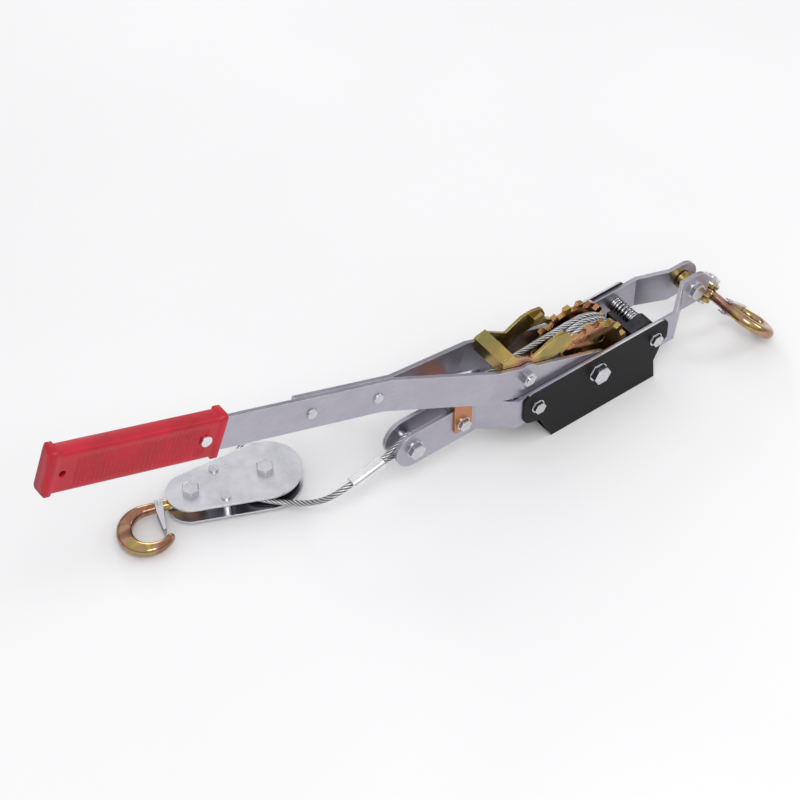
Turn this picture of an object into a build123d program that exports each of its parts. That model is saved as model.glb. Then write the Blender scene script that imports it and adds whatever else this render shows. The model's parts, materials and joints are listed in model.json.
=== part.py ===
from build123d import *
import os
from math import cos, degrees, hypot, pi, radians, sin, tan

os.makedirs("parts", exist_ok=True)

# Come along winch lying on a surface. +X runs from the grip towards the rear hook, -Y is the near side.
# The origin is on the ground under the drum axle.

# heights and the width layout, as distances from the middle plane
AXLE_Z = 46.0
DRUM_HALF = 11.0
WHEEL_OUT = 15.5
ARM_IN, ARM_OUT = 16.0, 18.5
LEVER_IN, LEVER_OUT = 19.0, 22.5
STRAP_IN, STRAP_OUT = 23.0, 26.5
GUARD_OUT = 28.3
SHEET = 3.5

# frame straps
MID_HALF = 15.0
FRONT_BEND, FRONT_NECK = -82.0, -110.0
REAR_BEND, REAR_NECK = 84.0, 106.0
FRONT_GAP, REAR_GAP = 6.0, 6.5
ANCHOR_X, ANCHOR_Z, FRONT_R = -172.0, 51.0, 17.5
CLEVIS_X, CLEVIS_Z, REAR_R = 121.0, 54.0, 16.0
GUIDE_X, GUIDE_Z = -125.5, 52.0
TIE_X, PAWL_X = -63.0, 62.0

# ratchet wheels and drum
TEETH = 18
PITCH = 360 / TEETH
TIP_R, ROOT_R, TOOTH_W = 41.0, 36.0, 6.0
AXLE_R = 5.0
RUN_GAP = 0.05
WOUND_R, LANE_R = 37.5, 32.0
LANE_Y, LANE_W = 2.75, 6.2
GAP_ANGLE = -18.0

# lever, measured along and across its own length
LEVER_ANGLE = 20.6
LEVER_LONG, LEVER_SHORT = 488.0, 300.0
LEVER_LOW, LEVER_HIGH = -13.5, 16.5
FLARE_NEAR, FLARE_FAR = 112.0, 206.0
PIVOT_ALONG, PIVOT_UP = 79.0, 7.0
RIVET_ALONG = (217.0, 282.0)
GRIP_START, GRIP_LENGTH = 366.0, 146.0
GRIP_PIN_ALONG = 381.0

# pawls: how far each turns from its lifted rest into the teeth
DRIVE_DROP, HOLD_DROP = 6.0, 13.0
BLADE_R = ROOT_R + 1.2
BLADE_W = 5.0

# cable and pulley block
ROPE_R = 2.5
SHEAVE = (-263.0, 68.0)
HOOK_BOLT = (-323.0, 84.0)
BLOCK_Z = 10.0
PLATE_GAP = 6.0
PLATE_T = 2.0
FERRULE_TOP, FERRULE_END = Vector(-196.0, 0, 44.6), Vector(-227.0, 0, 38.0)

# hooks
HOOK_REACH = 44.0
HOOK_ARC_R = 19.5
HOOK_WIRE = 4.7
HOOK_DROOP = 3.0
HOOK_TURN = 60.5


def keep(piece, name):
    """Label a finished piece and write its file."""
    piece.part.label = name
    export_step(piece.part, f"parts/{name}.step")


def turned(point, pivot, angle):
    """A side-view (x, z) point turned about a pivot, so that +x swings towards +z."""
    a = radians(angle)
    dx, dz = point[0] - pivot[0], point[1] - pivot[1]
    return (pivot[0] + dx * cos(a) - dz * sin(a), pivot[1] + dx * sin(a) + dz * cos(a))


def polar(radius, angle, centre=(0.0, AXLE_Z)):
    a = radians(angle)
    return (centre[0] + radius * cos(a), centre[1] + radius * sin(a))


def side(y):
    """A side-view plane at y: its sketches are in (x, z) and extrude towards -Y."""
    return Plane.XZ.offset(-y)


LEVER = Plane(
    origin=(0, 0, AXLE_Z),
    x_dir=(-cos(radians(LEVER_ANGLE)), 0, sin(radians(LEVER_ANGLE))),
    z_dir=(0, 1, 0),
)


def lever_point(along, up):
    """Side-view (x, z) of a place on the lever."""
    a = radians(LEVER_ANGLE)
    return (-along * cos(a) + up * sin(a), AXLE_Z + along * sin(a) + up * cos(a))


PIVOT = lever_point(PIVOT_ALONG, PIVOT_UP)


def sleeve(name, x, z, outer, inner, y_low, y_high):
    """A tube or washer across the winch."""
    with BuildPart() as tube:
        with BuildSketch(side(y_high)):
            with Locations((x, z)):
                Circle(outer)
                Circle(inner, mode=Mode.SUBTRACT)
        extrude(amount=y_high - y_low)
    keep(tube, name)


def hex_bolt(name, x, z, radius, flats, head, y_head, y_end):
    """A bolt across the winch, its head on the near side of y_head and its thread ending at y_end."""
    with BuildPart() as bolt:
        with BuildSketch(side(y_head)):
            with Locations((x, z)):
                RegularPolygon(flats / 2, 6, major_radius=False)
        extrude(amount=head)
        chamfer(bolt.faces().sort_by(Axis.Y)[0].edges(), 0.6)
        with BuildSketch(side(y_head)):
            with Locations((x, z)):
                Circle(flats / 2 + 1.2)
        extrude(amount=0.8)
        with BuildSketch(side(y_end)):
            with Locations((x, z)):
                Circle(radius)
        extrude(amount=y_end - y_head)
    keep(bolt, name)


def hex_nut(name, x, z, radius, flats, height, y_face):
    """A nut on the far side, seated at y_face."""
    with BuildPart() as nut:
        with BuildSketch(side(y_face + height)):
            with Locations((x, z)):
                RegularPolygon(flats / 2, 6, major_radius=False)
        extrude(amount=height)
        chamfer(nut.faces().sort_by(Axis.Y)[-1].edges(), 0.6)
        with BuildSketch(side(y_face + height)):
            with Locations((x, z)):
                Circle(radius)
        extrude(amount=height, mode=Mode.SUBTRACT)
    keep(nut, name)


# ---- frame straps -------------------------------------------------------------------------------

def strap_plan(sign):
    """The strap seen from above: a thin path that bends in at both ends."""
    mid, front, rear = STRAP_IN, FRONT_GAP, REAR_GAP
    inner = [
        (ANCHOR_X - FRONT_R, front),
        (FRONT_NECK, front),
        (FRONT_BEND, mid),
        (REAR_BEND, mid),
        (REAR_NECK, rear),
        (CLEVIS_X + REAR_R, rear),
    ]
    lean = 1.0
    outer = [
        (ANCHOR_X - FRONT_R, front + SHEET),
        (FRONT_NECK - lean, front + SHEET),
        (FRONT_BEND - lean, mid + SHEET),
        (REAR_BEND + lean, mid + SHEET),
        (REAR_NECK + lean, rear + SHEET),
        (CLEVIS_X + REAR_R, rear + SHEET),
    ]
    return [(x, sign * y) for x, y in inner + outer[::-1]]


def frame_strap(name, sign):
    """One bent side strap with its bolt holes and rounded ends."""
    front_low, front_high = ANCHOR_Z - FRONT_R, ANCHOR_Z + FRONT_R
    rear_low, rear_high = CLEVIS_Z - REAR_R, CLEVIS_Z + REAR_R
    low, high = AXLE_Z - MID_HALF, AXLE_Z + MID_HALF
    holes = [(0, AXLE_Z, AXLE_R), (TIE_X, AXLE_Z, 3.0), (PAWL_X, AXLE_Z, 3.5)]
    holes += [(ANCHOR_X, ANCHOR_Z, 4.0), (CLEVIS_X, CLEVIS_Z, 4.0), (GUIDE_X, GUIDE_Z, 3.0)]
    with BuildPart() as strap:
        with BuildSketch(Plane.XY):
            Polygon(*strap_plan(sign), align=None)
        extrude(amount=100)
        with BuildSketch(Plane.XZ):
            Polygon(
                (ANCHOR_X, front_high),
                (FRONT_NECK, front_high),
                (FRONT_BEND, high),
                (REAR_BEND, high),
                (REAR_NECK, rear_high),
                (CLEVIS_X, rear_high),
                (CLEVIS_X, rear_low),
                (REAR_NECK, rear_low),
                (REAR_BEND, low),
                (FRONT_BEND, low),
                (FRONT_NECK, front_low),
                (ANCHOR_X, front_low),
                align=None,
            )
            with Locations((ANCHOR_X, ANCHOR_Z)):
                Circle(FRONT_R)
            with Locations((CLEVIS_X, CLEVIS_Z)):
                Circle(REAR_R)
        extrude(amount=50, both=True, mode=Mode.INTERSECT)
        with BuildSketch(Plane.XZ):
            for x, z, radius in holes:
                with Locations((x, z)):
                    Circle(radius + RUN_GAP)
        extrude(amount=50, both=True, mode=Mode.SUBTRACT)
    keep(strap, name)


def drum_guard():
    """The folded channel round the drum, closed underneath, its walls bolted outside the straps."""
    sheet = GUARD_OUT - STRAP_OUT
    with BuildPart() as guard:
        with BuildSketch(Plane.XZ) as outline:
            Polygon(
                (-46, 0), (65, 0), (62.5, 20), (68, 33), (75, 42), (75, 63.8),
                (-77, 63.8), (-77, 33), (-59.5, 27),
                align=None,
            )
            fillet([v for v in outline.vertices() if v.Y > 60 or v.X < -76], 9)
        extrude(amount=GUARD_OUT, both=True)
        with BuildSketch(Plane.XZ):
            with Locations((0, 50)):
                Rectangle(200, 100 - 2 * sheet)
        extrude(amount=STRAP_OUT, both=True, mode=Mode.SUBTRACT)
        with BuildSketch(Plane.XZ):
            for x, radius in ((0, AXLE_R), (TIE_X, 3.0), (PAWL_X, 3.5)):
                with Locations((x, AXLE_Z)):
                    Circle(radius + RUN_GAP)
        extrude(amount=50, both=True, mode=Mode.SUBTRACT)
    keep(guard, "drum_guard")


def cable_guide():
    """The folded bracket over the front neck, whose window leads the cable."""
    outer, inner = FRONT_GAP + SHEET + 2.0, FRONT_GAP + SHEET + 0.1
    with BuildPart() as guide:
        with BuildSketch(Plane.XZ):
            with Locations((GUIDE_X, 64)):
                RectangleRounded(17, 40, 2)
        extrude(amount=outer, both=True)
        with BuildSketch(Plane.XZ):
            with Locations((GUIDE_X, 60)):
                Rectangle(30, 44)
        extrude(amount=inner, both=True, mode=Mode.SUBTRACT)
        with BuildSketch(Plane.XZ):
            with Locations((GUIDE_X, GUIDE_Z)):
                Circle(3.0 + RUN_GAP)
        extrude(amount=50, both=True, mode=Mode.SUBTRACT)
    keep(guide, "cable_guide_bracket")


# ---- drum ---------------------------------------------------------------------------------------

def ratchet_wheel(name, y_low, y_high):
    """A wheel with square block teeth and a ring of lightening holes."""
    with BuildPart() as wheel:
        with BuildSketch(side(y_high)):
            with Locations((0, AXLE_Z)):
                Circle(ROOT_R)
                with PolarLocations((ROOT_R + TIP_R) / 2 - 1, TEETH, start_angle=GAP_ANGLE + PITCH / 2):
                    Rectangle(TIP_R - ROOT_R + 2, TOOTH_W)
                Circle(TIP_R, mode=Mode.INTERSECT)
                Circle(AXLE_R + RUN_GAP, mode=Mode.SUBTRACT)
                with PolarLocations(24, 6):
                    Circle(3.5, mode=Mode.SUBTRACT)
        extrude(amount=y_high - y_low)
    keep(wheel, name)


def drum_barrel():
    """The hub tube between the wheels."""
    with BuildPart() as barrel:
        with BuildSketch(side(DRUM_HALF)):
            with Locations((0, AXLE_Z)):
                Circle(18)
                Circle(AXLE_R + RUN_GAP, mode=Mode.SUBTRACT)
        extrude(amount=2 * DRUM_HALF)
    keep(barrel, "drum_barrel")


def wound_cable():
    """The outer shape of the wound cable, with one lane lower where the free end lifts off."""
    lane_low, lane_high = LANE_Y - LANE_W / 2, LANE_Y + LANE_W / 2
    edge = DRUM_HALF - 0.2
    with BuildPart() as wound:
        with BuildSketch(Plane.YZ):
            Polygon(
                (-edge, AXLE_Z + 18.1), (edge, AXLE_Z + 18.1), (edge, AXLE_Z + WOUND_R),
                (lane_high, AXLE_Z + WOUND_R), (lane_high, AXLE_Z + LANE_R),
                (lane_low, AXLE_Z + LANE_R), (lane_low, AXLE_Z + WOUND_R), (-edge, AXLE_Z + WOUND_R),
                align=None,
            )
        revolve(axis=Axis((0, 0, AXLE_Z), (0, 1, 0)), revolution_arc=360)
    keep(wound, "wound_cable")


# ---- lever --------------------------------------------------------------------------------------

def lever_strap(name, sign, length, inner_end):
    """A lever strap: beside the wheels at the head, flared in to meet the other along the handle."""
    head = -18.0
    plan = [
        (head, LEVER_IN), (FLARE_NEAR, LEVER_IN), (FLARE_FAR, inner_end), (length, inner_end),
        (length, inner_end + SHEET), (FLARE_FAR + 1, inner_end + SHEET),
        (FLARE_NEAR + 1, LEVER_OUT), (head, LEVER_OUT),
    ]
    plan_plane = Plane(origin=LEVER.origin, x_dir=LEVER.x_dir, z_dir=LEVER.y_dir)
    mid = (LEVER_LOW + LEVER_HIGH) / 2
    half = (LEVER_HIGH - LEVER_LOW) / 2
    with BuildPart() as strap:
        with BuildSketch(plan_plane):
            # the plane's own y points to the near side
            Polygon(*[(along, -sign * y) for along, y in plan], align=None)
        extrude(amount=40, both=True)
        with BuildSketch(LEVER) as outline:
            with Locations((length / 2, mid)):
                Rectangle(length, 2 * half)
            with Locations((0, mid)):
                Circle(half)
            with Locations((PIVOT_ALONG, PIVOT_UP)):
                Circle(12)
        extrude(amount=60, both=True, mode=Mode.INTERSECT)
        with BuildSketch(LEVER):
            Circle(AXLE_R + RUN_GAP)
            with Locations((PIVOT_ALONG, PIVOT_UP)):
                Circle(3.5 + RUN_GAP)
            for along in RIVET_ALONG:
                with Locations((along, mid)):
                    Circle(3.0)
            with Locations((GRIP_PIN_ALONG, mid)):
                Circle(3.0)
        extrude(amount=60, both=True, mode=Mode.SUBTRACT)
    keep(strap, name)


def lever_rivets():
    """Round-headed rivets that join the two lever straps."""
    mid = (LEVER_LOW + LEVER_HIGH) / 2
    half = SHEET + 0.1
    with BuildPart() as rivets:
        for along in RIVET_ALONG:
            with BuildSketch(LEVER):
                with Locations((along, mid)):
                    Circle(2.95)
            extrude(amount=half, both=True)
            for offset, reach in ((half, 1.6), (-half, -1.6)):
                with BuildSketch(LEVER.offset(offset)):
                    with Locations((along, mid)):
                        Circle(4.6)
                extrude(amount=reach, taper=20)
    keep(rivets, "lever_rivets")


def lever_grip():
    """The moulded grip pushed over the end of the long strap."""
    mid = (LEVER_LOW + LEVER_HIGH) / 2
    centre = GRIP_START + GRIP_LENGTH / 2
    strap_mid = -(0.1 + SHEET / 2)
    with BuildPart() as grip:
        with BuildSketch(LEVER):
            with Locations((centre, mid)):
                RectangleRounded(GRIP_LENGTH, 36, 3)
            for along in (GRIP_START + 3, GRIP_START + GRIP_LENGTH - 3):
                with Locations((along, mid)):
                    RectangleRounded(6, 40, 1.5)
        extrude(amount=7, both=True)
        with BuildSketch(LEVER.offset(strap_mid)):
            with Locations(((GRIP_START + LEVER_LONG) / 2 - 1, mid)):
                Rectangle(LEVER_LONG - GRIP_START + 2.4, LEVER_HIGH - LEVER_LOW + 0.4)
        extrude(amount=SHEET / 2 + 0.15, both=True, mode=Mode.SUBTRACT)
        with BuildSketch(LEVER):
            with Locations((GRIP_START + GRIP_LENGTH - 11, mid)):
                Circle(2.6)
            with Locations((GRIP_PIN_ALONG, mid)):
                Circle(3.0)
        extrude(amount=20, both=True, mode=Mode.SUBTRACT)
    keep(grip, "lever_grip")


def grip_pin():
    mid = (LEVER_LOW + LEVER_HIGH) / 2
    with BuildPart() as pin:
        with BuildSketch(LEVER):
            with Locations((GRIP_PIN_ALONG, mid)):
                Circle(2.95)
        extrude(amount=7.1, both=True)
        for offset, reach in ((7.1, 1.4), (-7.1, -1.4)):
            with BuildSketch(LEVER.offset(offset)):
                with Locations((GRIP_PIN_ALONG, mid)):
                    Circle(4.8)
            extrude(amount=reach, taper=15)
    keep(pin, "lever_grip_pin")


def pawl_pivots():
    """Two short bolts that hold the yoke's arms to the lever straps, and their nuts outside."""
    x, z = PIVOT
    with BuildPart() as pivots:
        for sign in (-1, 1):
            spans = [(14.4, ARM_IN - 0.1, 6.5), (ARM_IN - 0.1, LEVER_OUT + 6, 3.45)]
            for low, high, radius in spans:
                top = high if sign > 0 else -low
                with BuildSketch(side(top)):
                    with Locations((x, z)):
                        Circle(radius)
                extrude(amount=high - low)
    keep(pivots, "drive_pawl_pivots")
    with BuildPart() as nuts:
        for sign in (-1, 1):
            low, high = LEVER_OUT + 0.05, LEVER_OUT + 5.0
            top = high if sign > 0 else -low
            with BuildSketch(side(top)):
                with Locations((x, z)):
                    RegularPolygon(5.6, 6, major_radius=False)
                    Circle(3.5, mode=Mode.SUBTRACT)
            extrude(amount=high - low)
    keep(nuts, "drive_pawl_nuts")


def lever_bushes():
    """Spacer rings on the axle between each wheel and its lever strap."""
    low, high = WHEEL_OUT + 0.3, LEVER_IN - 0.1
    with BuildPart() as bushes:
        for top in (high, -low):
            with BuildSketch(side(top)):
                with Locations((0, AXLE_Z)):
                    Circle(9)
                    Circle(AXLE_R + RUN_GAP, mode=Mode.SUBTRACT)
            extrude(amount=high - low)
    keep(bushes, "lever_bushes")


# ---- pawls --------------------------------------------------------------------------------------

YOKE_BAR_X, YOKE_BAR_Z = -90.0, AXLE_Z + 57.0
YOKE_RIVET = (-31.8, AXLE_Z + 46.0)


def drive_pawl_yoke():
    """Two curved arms joined by a folded finger bar in front."""
    x, z = PIVOT
    arm = [
        (x - 11, z - 4), (x - 9, z + 8), (YOKE_BAR_X - 3, YOKE_BAR_Z - 10), (YOKE_BAR_X - 2, YOKE_BAR_Z + 2),
        (YOKE_BAR_X + 7, YOKE_BAR_Z + 3), (x + 9, z + 12), (x + 26, z + 20),
        (YOKE_RIVET[0] - 4, YOKE_RIVET[1] + 9), (YOKE_RIVET[0] + 6, YOKE_RIVET[1] + 7),
        (YOKE_RIVET[0] + 10, YOKE_RIVET[1] - 2), (YOKE_RIVET[0] + 6, YOKE_RIVET[1] - 9),
        (x + 22, z + 1), (x + 8, z - 8), (x - 4, z - 10),
    ]
    with BuildPart() as yoke:
        with BuildSketch(Plane.XZ) as outline:
            Polygon(*arm, align=None)
            fillet(outline.vertices(), 2.5)
        extrude(amount=ARM_OUT, both=True)
        with BuildSketch(Plane.XZ):
            Rectangle(400, 400)
        extrude(amount=ARM_IN, both=True, mode=Mode.SUBTRACT)
        with BuildSketch(Plane.XZ) as bar:
            with BuildLine():
                Polyline(
                    (YOKE_BAR_X - 3, YOKE_BAR_Z - 12), (YOKE_BAR_X - 3, YOKE_BAR_Z + 1),
                    (YOKE_BAR_X + 8, YOKE_BAR_Z + 4), (YOKE_BAR_X + 8.6, YOKE_BAR_Z + 1.6),
                    (YOKE_BAR_X - 0.5, YOKE_BAR_Z - 1), (YOKE_BAR_X - 0.5, YOKE_BAR_Z - 12),
                    close=True,
                )
            make_face()
        extrude(amount=ARM_OUT, both=True)
        with BuildSketch(Plane.XZ):
            with Locations(PIVOT):
                Circle(3.5)
            with Locations(YOKE_RIVET):
                Circle(2.5)
        extrude(amount=50, both=True, mode=Mode.SUBTRACT)
    keep(yoke, "drive_pawl_yoke")


def drive_pawl_teeth():
    """The blocks inside the arms that drop into the wheels' gaps, drawn lifted clear of them."""
    gap = GAP_ANGLE + 7 * PITCH
    half = degrees(BLADE_W / 2 / BLADE_R)
    engaged = [polar(BLADE_R, gap - half), polar(BLADE_R, gap + half), polar(TIP_R + 2, gap + half)]
    tip = [turned(p, PIVOT, DRIVE_DROP) for p in engaged]
    x, z = YOKE_RIVET
    with BuildPart() as teeth:
        for low, high in ((DRUM_HALF + 0.2, ARM_IN - 0.05), (-ARM_IN + 0.05, -DRUM_HALF - 0.2)):
            with BuildSketch(side(high)):
                Polygon(*tip, (x - 6, z - 3), (x - 5, z + 4), (x + 4, z + 5), (x + 7, z - 2), align=None)
                with Locations((x, z)):
                    Circle(2.5, mode=Mode.SUBTRACT)
            extrude(amount=high - low)
    keep(teeth, "drive_pawl_teeth")
    with BuildPart() as rivets:
        for sign in (-1, 1):
            with BuildSketch(side(ARM_OUT if sign > 0 else -DRUM_HALF - 0.4)):
                with Locations((x, z)):
                    Circle(2.45)
            extrude(amount=ARM_OUT - DRUM_HALF - 0.4)
    keep(rivets, "drive_pawl_rivets")


def torsion_spring(name, x, z, radius, wire, y_low, y_high):
    """The outer shape of a close coil round a pin."""
    with BuildPart() as coil:
        with BuildSketch(side(y_high)):
            with Locations((x, z)):
                Circle(radius)
                Circle(radius - wire, mode=Mode.SUBTRACT)
        extrude(amount=y_high - y_low)
    keep(coil, name)


def holding_pawl():
    """A plate on the rear shaft whose two lower noses stop the wheels from behind, drawn lifted clear."""
    pivot = (PAWL_X, AXLE_Z)
    half = degrees(BLADE_W / 2 / BLADE_R)
    engaged = [
        polar(TIP_R + 1.4, GAP_ANGLE + half), polar(BLADE_R, GAP_ANGLE + half), polar(BLADE_R, GAP_ANGLE - 0.1 * half),
    ]
    nose = [turned(p, pivot, HOLD_DROP) for p in engaged]
    with BuildPart() as pawl:
        with BuildSketch(side(WHEEL_OUT)):
            Polygon(
                *nose, (47, AXLE_Z - 19), (50.5, AXLE_Z - 13), (51.5, AXLE_Z + 5), (46.5, AXLE_Z + 5),
                (46.0, AXLE_Z), (44.6, AXLE_Z - 9.1), align=None,
            )
        extrude(amount=2 * WHEEL_OUT)
        # the space between the noses, where the wound cable is
        with BuildSketch(side(DRUM_HALF + 0.2)):
            Polygon((30, AXLE_Z - 26), (43.9, AXLE_Z - 26), (43.9, AXLE_Z - 8), (30, AXLE_Z - 8), align=None)
        extrude(amount=2 * DRUM_HALF + 0.4, mode=Mode.SUBTRACT)
        with BuildSketch(side(-4)):
            with Locations(pivot):
                Circle(9)
            Polygon(
                (46, AXLE_Z - 12), (62, AXLE_Z - 9), (62, AXLE_Z + 9), (46.5, AXLE_Z + 5), align=None,
            )
            with Locations(pivot):
                Circle(3.5 + RUN_GAP, mode=Mode.SUBTRACT)
        extrude(amount=12)
    keep(pawl, "holding_pawl")


# ---- pulley block -------------------------------------------------------------------------------

def block_points():
    """The two rivets, square to the line between the block's bolts."""
    dx, dy = HOOK_BOLT[0] - SHEAVE[0], HOOK_BOLT[1] - SHEAVE[1]
    span = hypot(dx, dy)
    ux, uy = dx / span, dy / span
    along, across = 38.0, 15.5
    return [(SHEAVE[0] + ux * along - s * uy * across, SHEAVE[1] + uy * along + s * ux * across) for s in (1, -1)]


def block_plate(name, low):
    with BuildPart() as plate:
        with BuildSketch(Plane.XY.offset(low)):
            with Locations(SHEAVE):
                Circle(30)
            with Locations(HOOK_BOLT):
                Circle(20)
            make_hull()
            for place, radius in ((SHEAVE, 5.0), (HOOK_BOLT, 5.0)):
                with Locations(place):
                    Circle(radius + RUN_GAP, mode=Mode.SUBTRACT)
            for place in block_points():
                with Locations(place):
                    Circle(2.55, mode=Mode.SUBTRACT)
        extrude(amount=PLATE_T)
    keep(plate, name)


def block_bolt(name, place):
    """A bolt down through the block: hexagon head on top, riveted low head underneath."""
    top = BLOCK_Z + PLATE_GAP + PLATE_T
    with BuildPart() as bolt:
        with BuildSketch(Plane.XY.offset(top)):
            with Locations(place):
                RegularPolygon(6.5, 6, major_radius=False)
        extrude(amount=5)
        chamfer(bolt.faces().sort_by(Axis.Z)[-1].edges(), 0.7)
        with BuildSketch(Plane.XY.offset(0)):
            with Locations(place):
                Circle(8)
        extrude(amount=BLOCK_Z - PLATE_GAP - PLATE_T)
        with BuildSketch(Plane.XY):
            with Locations(place):
                Circle(5.0)
        extrude(amount=top)
    keep(bolt, name)


def sheave():
    """The grooved wheel in the block."""
    with BuildPart() as wheel:
        with BuildSketch(Plane.XZ):
            Polygon(
                (5.0 + RUN_GAP, BLOCK_Z - 5), (27.5, BLOCK_Z - 5), (27.5, BLOCK_Z - 4.3), (20.6, BLOCK_Z - 3),
                (20.6, BLOCK_Z + 3), (27.5, BLOCK_Z + 4.3), (27.5, BLOCK_Z + 5), (5.0 + RUN_GAP, BLOCK_Z + 5),
                align=None,
            )
        revolve(axis=Axis.Z, revolution_arc=360)
    wheel.part.position = Vector(SHEAVE[0], SHEAVE[1], 0)
    keep(wheel, "cable_sheave")


def block_rivets():
    low, high = BLOCK_Z - PLATE_GAP - PLATE_T, BLOCK_Z + PLATE_GAP + PLATE_T
    with BuildPart() as rivets:
        for place in block_points():
            for bottom, top, radius in ((low - 1.2, low, 4), (low, high, 2.5), (high, high + 1.6, 4)):
                with BuildSketch(Plane.XY.offset(bottom)):
                    with Locations(place):
                        Circle(radius)
                extrude(amount=top - bottom)
    keep(rivets, "block_rivets")
    with BuildPart() as spacers:
        with BuildSketch(Plane.XY.offset(BLOCK_Z - PLATE_GAP)):
            for place in block_points():
                with Locations(place):
                    Circle(4.2)
                    Circle(2.55, mode=Mode.SUBTRACT)
        extrude(amount=2 * PLATE_GAP)
    keep(spacers, "block_spacers")


# ---- hooks --------------------------------------------------------------------------------------

# the latch's pivot on the shank and the place where its end meets the tip, in the bowl's plane
LATCH_PIVOT = (24.0, -10.6)
LATCH_END = (37.4, 12.2)


def hook(name, flat, bowl, eye_hole):
    """A forged hook: an eye, a shank tangent to the back of the bowl, and a tip that stops short."""
    tangent = 63.7
    start = (HOOK_REACH - HOOK_ARC_R * cos(radians(tangent)), -HOOK_ARC_R * sin(radians(tangent)))
    sweep_angle = 360 - tangent - 68
    with BuildPart() as forged:
        with BuildLine(bowl) as path:
            Line((7.5 * cos(radians(-26)), 7.5 * sin(radians(-26))), start)
            CenterArc((HOOK_REACH, 0), HOOK_ARC_R, 180 + tangent, sweep_angle)
        wire = path.wires()[0]
        with BuildSketch(Plane(origin=wire @ 0, z_dir=wire % 0)):
            Circle(HOOK_WIRE)
        sweep(path=wire)
        with Locations(wire @ 1):
            Sphere(HOOK_WIRE - 0.02)
        with BuildSketch(flat.offset(-5)):
            Circle(10.5)
        extrude(amount=10)
        with BuildSketch(flat.offset(-5)):
            Circle(eye_hole)
        extrude(amount=10, mode=Mode.SUBTRACT)
        with BuildSketch(bowl.offset(-10)):
            with Locations(LATCH_PIVOT):
                Circle(1.5 + RUN_GAP)
        extrude(amount=20, mode=Mode.SUBTRACT)
    keep(forged, name)


def hook_latch(name, pin_name, bowl):
    """A folded sheet latch that straddles the shank and closes against the tip from inside."""
    px, py = LATCH_PIVOT
    ex, ey = LATCH_END
    span = hypot(ex - px, ey - py)
    ux, uy = (ex - px) / span, (ey - py) / span
    cheek = HOOK_WIRE + 0.5

    def at(along, across):
        return (px + ux * along - uy * across, py + uy * along + ux * across)

    with BuildPart() as latch:
        with BuildSketch(bowl) as outline:
            Polygon(at(-3.5, 3.2), at(span, 1.2), at(span, -1.0), at(7, -3.4), at(-3.5, -3.4), align=None)
        extrude(amount=cheek + 1.2, both=True)
        with BuildSketch(bowl):
            Polygon(at(-9, 9), at(7.5, 9), at(7.5, -9), at(-9, -9), align=None)
            Polygon(at(7, -0.2), at(7, -9), at(span + 9, -9), at(span + 9, -0.2), align=None)
        extrude(amount=cheek, both=True, mode=Mode.SUBTRACT)
        with BuildSketch(bowl):
            with Locations(LATCH_PIVOT):
                Circle(1.5 + RUN_GAP)
        extrude(amount=20, both=True, mode=Mode.SUBTRACT)
    keep(latch, name)
    with BuildPart() as pin:
        with BuildSketch(bowl):
            with Locations(LATCH_PIVOT):
                Circle(1.5)
        extrude(amount=cheek + 2.0, both=True)
    keep(pin, pin_name)


# ---- rear link ----------------------------------------------------------------------------------

LINK_SLOPE = 42.0
LINK_LENGTH = 30.0
LINK_DIR = Vector(cos(radians(LINK_SLOPE)), 0, -sin(radians(LINK_SLOPE)))
LINK_UP = Vector(sin(radians(LINK_SLOPE)), 0, cos(radians(LINK_SLOPE)))
REAR_EYE = Vector(CLEVIS_X, 0, CLEVIS_Z) + LINK_DIR * LINK_LENGTH
LINK_SIDE = Plane(origin=(CLEVIS_X, 0, CLEVIS_Z), x_dir=LINK_DIR, z_dir=(0, -1, 0))
LINK_FACE = Plane(origin=(CLEVIS_X, 0, CLEVIS_Z), x_dir=LINK_DIR, z_dir=LINK_UP)
LINK_IN, LINK_OUT = 5.4, 8.2


def rear_link():
    """A strap bent round the clevis bolt, its two leaves ending in round eyes."""
    with BuildPart() as link:
        with BuildSketch(LINK_SIDE):
            Circle(LINK_OUT)
            with Locations((20, 0)):
                Rectangle(40, 2 * LINK_OUT)
            Circle(LINK_IN, mode=Mode.SUBTRACT)
            with Locations((30, 0)):
                Rectangle(60, 2 * LINK_IN, mode=Mode.SUBTRACT)
        extrude(amount=12, both=True)
        with BuildSketch(LINK_FACE):
            with Locations((10, 0)):
                Rectangle(40, 11)
            with Locations((LINK_LENGTH, 0)):
                Circle(10)
        extrude(amount=30, both=True, mode=Mode.INTERSECT)
        with BuildSketch(LINK_FACE):
            with Locations((LINK_LENGTH, 0)):
                Circle(4.0 + RUN_GAP)
        extrude(amount=30, both=True, mode=Mode.SUBTRACT)
    keep(link, "rear_link")


def link_bolt():
    with BuildPart() as bolt:
        with BuildSketch(LINK_FACE.offset(-LINK_OUT)):
            with Locations((LINK_LENGTH, 0)):
                Circle(6.8)
        extrude(amount=-3)
        with BuildSketch(LINK_FACE.offset(-LINK_OUT)):
            with Locations((LINK_LENGTH, 0)):
                Circle(4.0)
        extrude(amount=2 * LINK_OUT + 6)
    keep(bolt, "rear_link_bolt")
    with BuildPart() as nut:
        with BuildSketch(LINK_FACE.offset(LINK_OUT)):
            with Locations((LINK_LENGTH, 0)):
                RegularPolygon(6.5, 6, major_radius=False)
                Circle(4.0, mode=Mode.SUBTRACT)
        extrude(amount=5)
    keep(nut, "rear_link_nut")


# ---- cable --------------------------------------------------------------------------------------

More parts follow.
